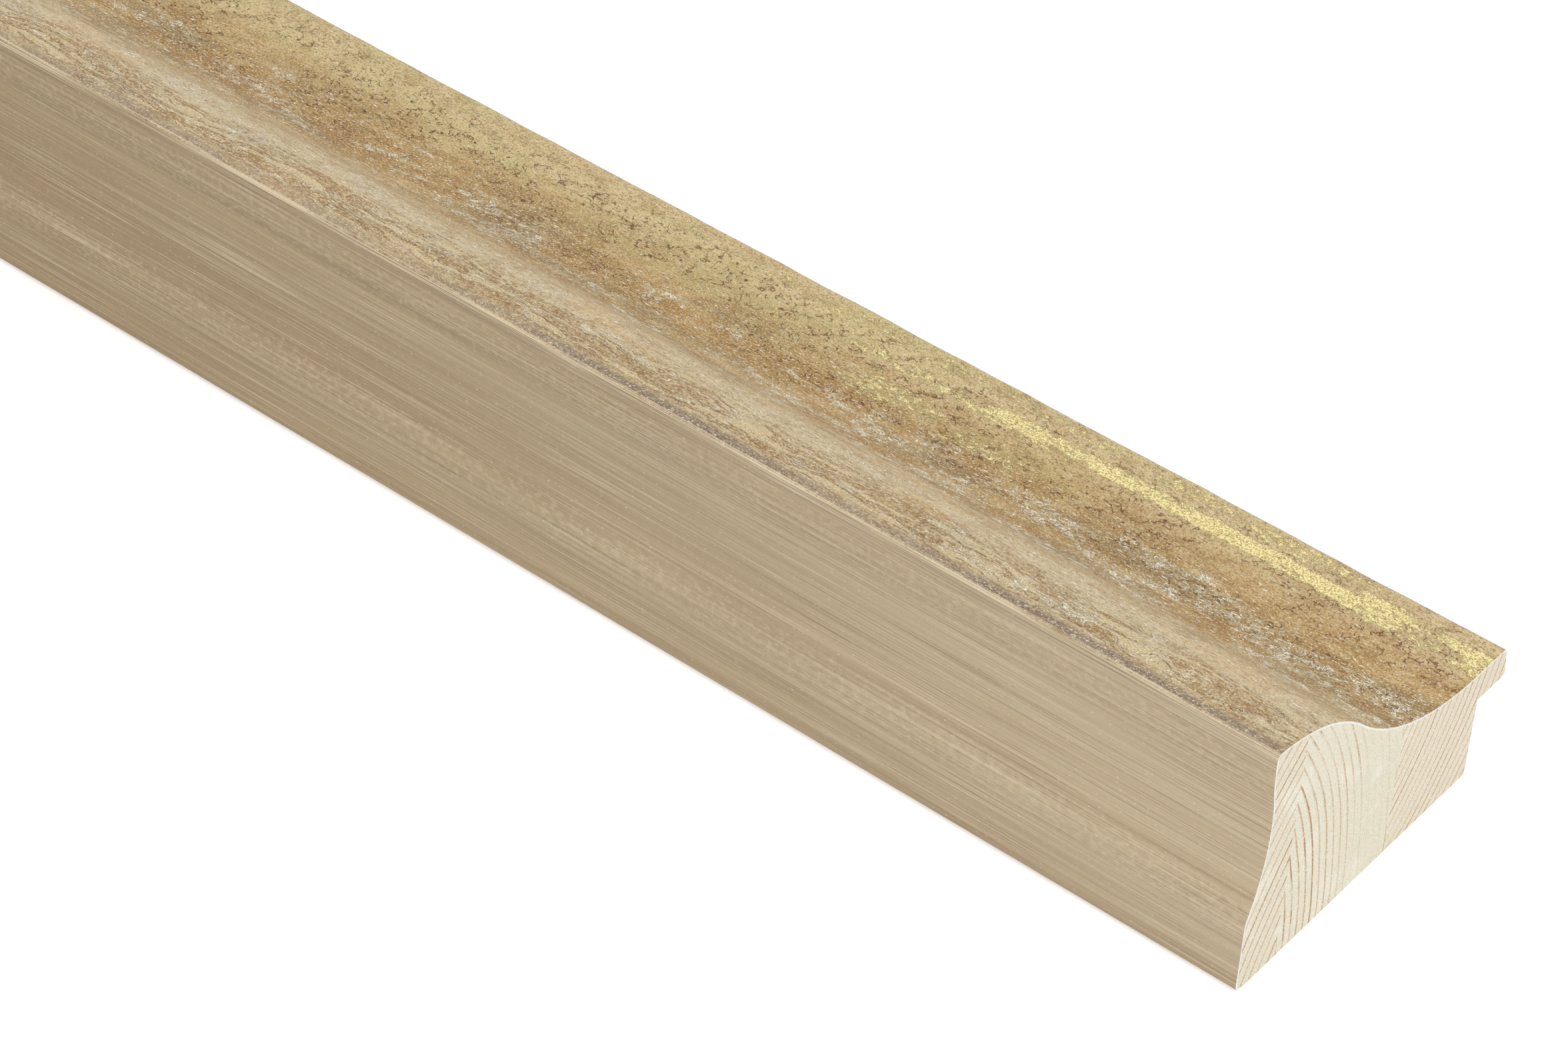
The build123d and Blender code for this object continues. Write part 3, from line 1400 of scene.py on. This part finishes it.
@dataclass(frozen=True)
class Studio:
    """The floor, the light and the camera."""

    world: float = 0.66
    floor_size: float = 60.0
    floor_below: float = 0.2
    floor_white: float = 0.85
    floor_roughness: float = 0.9
    floor_glow: float = 0.38
    lamps: tuple[Lamp, ...] = (
        Lamp("key", (2.2, -0.9, 2.4), (0.3, 0, 0), 1.6, 28.0),
        Lamp("fill", (0.95, -0.85, 0.65), (0.4, 0, 0), 0.5, 3.0),
        Lamp("back", (0.4, 2.4, 2.0), (0.2, 0, 0), 2.4, 18.0),
    )
    camera_place: tuple[float, float, float] = (0.66561, -0.41163, 0.45141)
    camera_right: tuple[float, float, float] = (0.77351, 0.63253, 0.03978)
    camera_up: tuple[float, float, float] = (-0.43831, 0.48856, 0.75445)
    camera_nearest: float = 0.01
    sensor: float = 36.0
    lens: float = 105.12

    def build(self) -> None:
        """Builds the studio."""
        self.build_floor()
        self.build_world()
        deselect_all()
        for lamp in self.lamps:
            lamp.build()
        self.build_camera()

    def build_floor(self) -> None:
        """Lays a plain pale floor just under the stick."""
        deselect_all()
        place = (0, 0, -self.floor_below * MM)
        bpy.ops.mesh.primitive_plane_add(size=self.floor_size, location=place)
        floor = bpy.context.object
        floor.name = "floor"
        floor.data.materials.append(self.floor_paint())

    def floor_paint(self) -> bpy.types.Material:
        """White paint, which the camera sees as plain white wherever nothing shades it.

        Returns:
            The material.
        """
        material = bpy.data.materials.new("floor_paint")
        material.use_nodes = True
        sheet = NodeSheet(material.node_tree)
        seen = sheet.add("LightPath", {}).outputs["Is Camera Ray"]
        sockets = {
            "Base Color": (self.floor_white,) * 3,
            "Roughness": self.floor_roughness,
            "Specular IOR Level": 0.0,
            "Emission Color": WHITE,
            "Emission Strength": sheet.product(seen, self.floor_glow),
        }
        sheet.wire(material.node_tree.nodes["Principled BSDF"], sockets)
        return material

    def build_world(self) -> None:
        """Lights the scene evenly, and shows white behind it."""
        world = bpy.data.worlds.new("studio")
        bpy.context.scene.world = world
        world.use_nodes = True
        sheet = NodeSheet(world.node_tree)
        path = sheet.add("LightPath", {}).outputs
        seen = sheet.largest(path["Is Camera Ray"], path["Is Glossy Ray"])
        sockets = {"Color": WHITE, "Strength": sheet.between(seen, self.world, 1.0)}
        sheet.wire(world.node_tree.nodes["Background"], sockets)

    def build_camera(self) -> None:
        """Puts the camera where the photograph was taken from."""
        bpy.ops.object.camera_add()
        camera = bpy.context.object
        camera.name = "camera"
        right, up = Vector(self.camera_right), Vector(self.camera_up)
        axes = Matrix((right, up, right.cross(up))).transposed()
        camera.matrix_world = Matrix.Translation(self.camera_place) @ axes.to_4x4()
        camera.data.sensor_width = self.sensor
        camera.data.lens = self.lens
        camera.data.clip_start = self.camera_nearest
        bpy.context.scene.camera = camera
        bpy.context.scene.view_settings.view_transform = "Standard"


# The pieces

FACE_SLOT = 0  # material slots of the coat
GESSO_SLOT = 1


class Tube:
    """The outline run along the stick's length, open at both ends."""

    def __init__(self, outline: Outline) -> None:
        """Draws the outline and extrudes it.

        Args:
            outline: The section's outline.
        """
        self.outline = outline
        self.section = outline.section
        self.piece = outline.draw()
        edit_whole(self.piece)
        bpy.ops.mesh.extrude_region_move(
            TRANSFORM_OT_translate={"value": (self.section.length * MM, 0, 0)}
        )
        face_outwards(self.piece)

    def under_coat(self) -> np.ndarray:
        """Tells for each face of the tube whether the coat covers it.

        Returns:
            One truth value for each face.
        """
        mesh = self.piece.data
        across = vertex_across(mesh)[loop_vertices(mesh)]
        covered = (across > -NEAR) & (across < self.outline.coat_ends_at + NEAR)
        faces = np.ones(len(mesh.polygons), dtype=bool)
        np.logical_and.at(faces, loop_faces(mesh), covered)
        return faces

    def lift_coat(self, name: str) -> bpy.types.Object:
        """Copies the covered faces off the tube as a sheet of their own.

        Args:
            name: The sheet's name.

        Returns:
            The sheet.
        """
        edit_chosen(self.piece, "FACE", self.under_coat())
        bpy.ops.mesh.duplicate()
        bpy.ops.mesh.separate(type="SELECTED")
        leave_edit_mode()
        sheet = next(o for o in bpy.context.selected_objects if o is not self.piece)
        sheet.name = sheet.data.name = name
        return sheet

    def let_in(self) -> None:
        """Sets the covered faces back by the coat's thickness."""
        edit_chosen(self.piece, "FACE", self.under_coat())
        bpy.ops.transform.shrink_fatten(value=-self.section.coat * MM, use_even_offset=True)
        leave_edit_mode()


@dataclass
class PineStick:
    """The bare wood of the stick, a closed solid with the coat let into it."""

    tube: Tube
    smooth_below: float = 30.0
    sides_cell: BakeCell = BakeCell(0.004, 0.36, 0.992, 0.59)
    covered_cell: BakeCell = BakeCell(0.004, 0.955, 0.992, 0.04)
    sawn_cells: tuple[BakeCell, BakeCell] = (
        BakeCell(0.01, 0.01, 0.48, 0.33),
        BakeCell(0.51, 0.01, 0.48, 0.33),
    )

    def build(self) -> bpy.types.Object:
        """Lets the coat in and closes the sawn ends.

        Returns:
            The finished piece.
        """
        piece = self.tube.piece
        piece.name = piece.data.name = "pine_stick"
        self.tube.let_in()
        cut_across(piece, BAKE_ROWS - 1)
        half = self.tube.section.length * MM / 2
        for side in (-1, 1):
            end = np.abs(vertex_places(piece.data)[:, 0] - side * half) < MM
            edit_chosen(piece, "VERT", end)
            bpy.ops.mesh.edge_face_add()
            leave_edit_mode()
        face_outwards(piece)
        bpy.ops.object.shade_smooth_by_angle(angle=math.radians(self.smooth_below))
        self.write_bake_map(piece.data)
        return piece

    def write_bake_map(self, mesh: bpy.types.Mesh) -> None:
        """Lays the wood out for baking: large ends, its bare sides in rows, the rest small.

        Args:
            mesh: The stick's mesh.
        """
        section, outline = self.tube.section, self.tube.outline
        corners, faces = loop_vertices(mesh), loop_faces(mesh)
        x, y, z = vertex_places(mesh)[corners].T
        along = x / (section.length * MM) + 0.5
        across = vertex_across(mesh)[corners]
        start, end = across.min(), across.max() + section.rabbet_depth * MM
        beyond = np.zeros(len(mesh.polygons), dtype=bool)
        np.logical_or.at(beyond, faces, across > outline.coat_ends_at + MM)
        total = end - outline.coat_ends_at - start
        on_back = across < NEAR
        bare = np.where(on_back, across - start, across - outline.coat_ends_at - start)
        bare = np.where(on_back & beyond[faces], total, bare) / total
        places = self.sides_cell.in_rows(mesh, along, bare)
        under = self.tube.under_coat()[faces]
        covered = self.covered_cell.at(along, across / outline.coat_ends_at)
        places[under] = covered[under]
        sawn = np.abs(read(mesh.polygons, "normal", 3)[faces, 0]) > 0.9
        u, v = y / (section.width * MM) + 0.5, z / (section.arris_height * MM)
        for cell, end_here in zip(self.sawn_cells, (sawn & (x < 0), sawn & (x > 0))):
            places[end_here] = cell.at(u, v)[end_here]
        write_map(mesh, BAKE_MAP, places)


@dataclass
class GessoCoat:
    """The thin coat over the face and outer side, a closed shell with a hand-rubbed relief."""

    tube: Tube
    cuts_along: tuple[int, ...] = (26, 25)
    waves: float = 0.20
    waves_grain: float = 0.34
    lumps: float = 0.24
    lumps_grain: float = 0.06
    drawn_out: float = 0.4
    side_share: float = 0.2
    side_fade: float = 2.0
    fade: float = 1.4
    relief_steps: int = 20
    smooth_below: float = 50.0
    outer_cell: BakeCell = BakeCell(0.004, 0.004, 0.992, 0.955)
    gesso_cell: BakeCell = BakeCell(0.004, 0.965, 0.992, 0.031)

    def build(
        self, face: bpy.types.Material, side: bpy.types.Material, gesso: bpy.types.Material
    ) -> bpy.types.Object:
        """Gives the sheet its thickness, divides its outer face and raises the relief.

        Args:
            face: The finish from the arris to the sight edge.
            side: The finish below the arris.
            gesso: The bare gesso of its edges and underside.

        Returns:
            The finished piece.
        """
        piece = self.tube.lift_coat("gesso_coat")
        for material in (face, gesso):
            piece.data.materials.append(material)
        apply_modifier(
            piece,
            "SOLIDIFY",
            "thickness",
            thickness=self.tube.section.coat * MM,
            offset=-1,
            use_even_offset=True,
            material_offset=GESSO_SLOT,
            material_offset_rim=GESSO_SLOT,
        )
        for cuts in self.cuts_along:
            cut_across(piece, cuts, self.outer_vertices(piece.data))
        self.raise_relief(piece)
        write_map(piece.data, SURFACE_MAP, self.surface_places(piece.data))
        self.write_bake_map(piece.data)
        self.finish_side(piece.data, side)
        activate(piece)
        bpy.ops.object.shade_smooth_by_angle(angle=math.radians(self.smooth_below))
        return piece

    def outer_vertices(self, mesh: bpy.types.Mesh) -> np.ndarray:
        """Tells for each vertex whether an outer face stands on it.

        Args:
            mesh: The coat's mesh.

        Returns:
            One truth value for each vertex.
        """
        outer = np.zeros(len(mesh.vertices), dtype=bool)
        on_face = face_slots(mesh)[loop_faces(mesh)] == FACE_SLOT
        outer[loop_vertices(mesh)[on_face]] = True
        return outer

    def finish_side(self, mesh: bpy.types.Mesh, side: bpy.types.Material) -> None:
        """Gives the outer faces below the arris their own finish.

        Args:
            mesh: The coat's mesh.
            side: The finish.
        """
        mesh.materials.append(side)
        slots = face_slots(mesh)
        across = vertex_across(mesh)[loop_vertices(mesh)] - self.tube.outline.arris_at
        lowest = np.full(len(slots), np.inf)
        np.minimum.at(lowest, loop_faces(mesh), across)
        slots[(slots == FACE_SLOT) & (lowest < -0.1 * MM)] = len(mesh.materials) - 1
        mesh.polygons.foreach_set("material_index", slots)

    def surface_places(self, mesh: bpy.types.Mesh, squeeze: float = 1.0) -> np.ndarray:
        """Places on the flattened coat: along the stick, and across from the arris.

        Args:
            mesh: The coat's mesh.
            squeeze: What the distance along the stick is multiplied by.

        Returns:
            One row for each face corner, in units of SURFACE_UNIT.
        """
        corners = loop_vertices(mesh)
        along = vertex_places(mesh)[corners, 0] * squeeze
        across = vertex_across(mesh)[corners] - self.tube.outline.arris_at
        return np.stack([along, across], axis=1) / SURFACE_UNIT

    def write_bake_map(self, mesh: bpy.types.Mesh) -> None:
        """Lays the coat out for baking: the outer face in rows, the gesso in a narrow strip.

        Args:
            mesh: The coat's mesh.
        """
        corners = loop_vertices(mesh)
        along = vertex_places(mesh)[corners, 0] / (self.tube.section.length * MM) + 0.5
        across = vertex_across(mesh)[corners] / self.tube.outline.coat_ends_at
        places = self.outer_cell.in_rows(mesh, along, across)
        gesso = face_slots(mesh)[loop_faces(mesh)] == GESSO_SLOT
        rim = self.outer_vertices(mesh)[corners]  # the rim lies round the underside in the strip
        strip = self.gesso_cell.at(
            0.5 + (along - 0.5) * (0.96 + 0.03 * rim), 0.5 + (across - 0.5) * (0.6 + 0.35 * rim)
        )
        places[gesso] = strip[gesso]
        write_map(mesh, BAKE_MAP, places)

    def relief_weights(self, mesh: bpy.types.Mesh) -> np.ndarray:
        """How strong the relief is: less on the outer side, and fading out at the coat's edges.

        Args:
            mesh: The coat's mesh.

        Returns:
            One weight for each vertex.
        """
        outline = self.tube.outline
        half = self.tube.section.length * MM / 2
        from_end = half - np.abs(vertex_places(mesh)[:, 0])
        across = vertex_across(mesh)
        from_edge = np.minimum(across, outline.coat_ends_at - across)
        fade = np.clip(np.minimum(from_end, from_edge) / (self.fade * MM), 0, 1)
        face = np.clip((across - outline.arris_at) / (self.side_fade * MM) + 1, 0, 1)
        weights = fade * (self.side_share + (1 - self.side_share) * face)
        weights[~self.outer_vertices(mesh)] = 0
        return weights

    def raise_relief(self, piece: bpy.types.Object) -> None:
        """Displaces the outer face by rubbed waves and small lumps that run along the stick.

        Args:
            piece: The coat.
        """
        write_map(piece.data, RELIEF_MAP, self.surface_places(piece.data, self.drawn_out))
        group = piece.vertex_groups.new(name="relief")
        steps = np.round(self.relief_weights(piece.data) * self.relief_steps).astype(int)
        for step in range(1, self.relief_steps + 1):
            vertices = np.flatnonzero(steps == step).tolist()
            group.add(vertices, step / self.relief_steps, "REPLACE")
        for name, grain, height in (
            ("waves", self.waves_grain, self.waves),
            ("lumps", self.lumps_grain, self.lumps),
        ):
            texture = bpy.data.textures.new(name, "CLOUDS")
            texture.noise_scale = grain
            texture.noise_depth = 1
            apply_modifier(
                piece,
                "DISPLACE",
                name,
                texture=texture,
                texture_coords="UV",
                uv_layer=RELIEF_MAP,
                vertex_group=group.name,
                strength=height * MM,
                mid_level=0.5,
            )
            bpy.data.textures.remove(texture)
        piece.data.uv_layers.remove(piece.data.uv_layers[RELIEF_MAP])
        piece.vertex_groups.clear()


def main() -> None:
    """Builds the scene in order."""
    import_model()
    effects = Effects()
    tube = Tube(Outline(Section()))
    coat = GessoCoat(tube).build(
        AntiquedFace().build(effects), BrushedWash().build(effects), BareGesso().build(effects)
    )
    stick = PineStick(tube).build()
    stick.data.materials.append(BarePine().build(effects))
    for piece in (stick, coat):
        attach(piece, "root")
        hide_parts("moulding")
        log.info("%s: %d faces", piece.name, len(piece.data.polygons))
    Studio().build()


if __name__ == "__main__":
    main()
